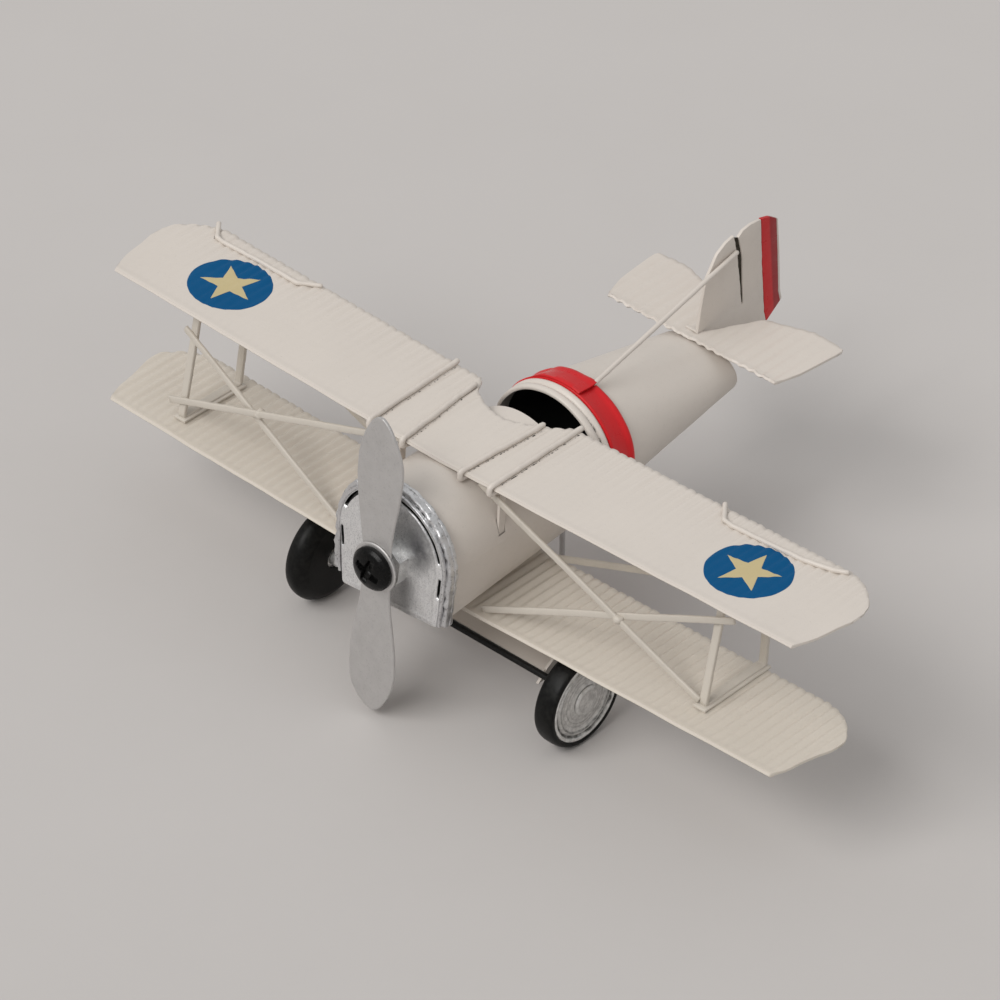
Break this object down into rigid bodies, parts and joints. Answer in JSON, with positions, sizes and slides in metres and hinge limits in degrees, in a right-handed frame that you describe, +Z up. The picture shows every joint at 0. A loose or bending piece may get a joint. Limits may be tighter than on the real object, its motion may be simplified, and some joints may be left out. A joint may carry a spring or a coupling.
{
  "type": "sheet metal biplane model",
  "caption": "Scale biplane of folded and soldered sheet metal with corrugated wings, crossed bracing, a spinning propeller and free-rolling wheels.",
  "frame": {"origin": "on the surface it stands on, under the middle of the bounding box", "axes": "+X forward to the propeller, +Y towards the port wing tip, +Z up"},
  "size_m": [0.1065, 0.1566, 0.0613],
  "materials": {
    "cream_paint_top": "satin brushed-on paint, slightly worn",
    "cream_paint_low": "satin brushed-on paint, slightly worn",
    "cream_paint_body": "satin brushed-on paint, slightly worn",
    "painted_strip": "thin satin paint over tinned strip",
    "solder": "dull lumpy solder",
    "cowl_steel": "hammered, semi-bright",
    "plain_steel": "matt cut sheet",
    "zinc_hardware": "zinc plated, slightly tarnished",
    "black_hardware": "black oxide with a light oily sheen",
    "red_paint": "satin brushed-on paint",
    "blue_paint": "satin brushed-on paint",
    "star_paint": "satin brushed-on paint",
    "tyre": "soft semi-gloss",
    "wheel_metal": "turned, slightly dull",
    "dark_wire": "black wire"
  },
  "bodies": {
    "airframe": {"aileron_wire_port": "cream_paint_body", "aileron_wire_starboard": "cream_paint_body", "axle": "dark_wire", "axle_cap_port": "wheel_metal", "axle_cap_starboard": "wheel_metal", "brace_down_port": "painted_strip", "brace_down_starboard": "painted_strip", "brace_up_port": "painted_strip", "brace_up_starboard": "painted_strip", "cabane_front_port": "cream_paint_body", "cabane_front_starboard": "cream_paint_body", "cabane_rear_port": "cream_paint_body", "cabane_rear_starboard": "cream_paint_body", "cockpit_rim": "cream_paint_body", "cowl_front_plate": "cowl_steel", "cowl_ring": "cowl_steel", "fin": "cream_paint_body", "front_fuselage_shell": "cream_paint_body", "front_washer": "plain_steel", "hex_nut": "zinc_hardware", "inner_lock_nut": "zinc_hardware", "interplane_strut_port": "painted_strip", "interplane_strut_starboard": "painted_strip", "landing_gear_bracket": "cream_paint_body", "lower_wing": "cream_paint_low", "propeller_screw": "black_hardware", "rear_brace_port": "painted_strip", "rear_brace_starboard": "painted_strip", "rear_fuselage_cone": "cream_paint_body", "rear_washer": "plain_steel", "red_band": "red_paint", "red_band_strap_end": "red_paint", "roundel_disc_port": "blue_paint", "roundel_disc_starboard": "blue_paint", "roundel_star_port": "star_paint", "roundel_star_starboard": "star_paint", "rudder_stripe": "red_paint", "rudder_trailing_edge": "cream_paint_body", "solder_blob_port": "solder", "solder_blob_starboard": "solder", "stabilizer": "cream_paint_body", "tail_rod": "cream_paint_body", "tail_skid": "dark_wire", "upper_wing": "cream_paint_top", "wing_saddle": "cream_paint_body", "wing_wire_inner_port": "cream_paint_body", "wing_wire_inner_starboard": "cream_paint_body", "wing_wire_outer_port": "cream_paint_body", "wing_wire_outer_starboard": "cream_paint_body"},
    "propeller": {"propeller": "plain_steel"},
    "wheel_port": {"wheel_hub_port": "wheel_metal", "tyre_port": "tyre"},
    "wheel_starboard": {"wheel_hub_starboard": "wheel_metal", "tyre_starboard": "tyre"}
  },
  "joints": [
    {"name": "propeller_spin", "type": "hinge", "parent": "airframe", "child": "propeller", "pos_m": [0.05045, 0, 0.0314], "axis": [1, 0, 0], "continuous": true},
    {"name": "port_wheel_spin", "type": "hinge", "parent": "airframe", "child": "wheel_port", "pos_m": [0.03115, 0.0284, 0.0091], "axis": [0, 1, 0], "continuous": true},
    {"name": "starboard_wheel_spin", "type": "hinge", "parent": "airframe", "child": "wheel_starboard", "pos_m": [0.03115, -0.0284, 0.0091], "axis": [0, 1, 0], "continuous": true}
  ]
}
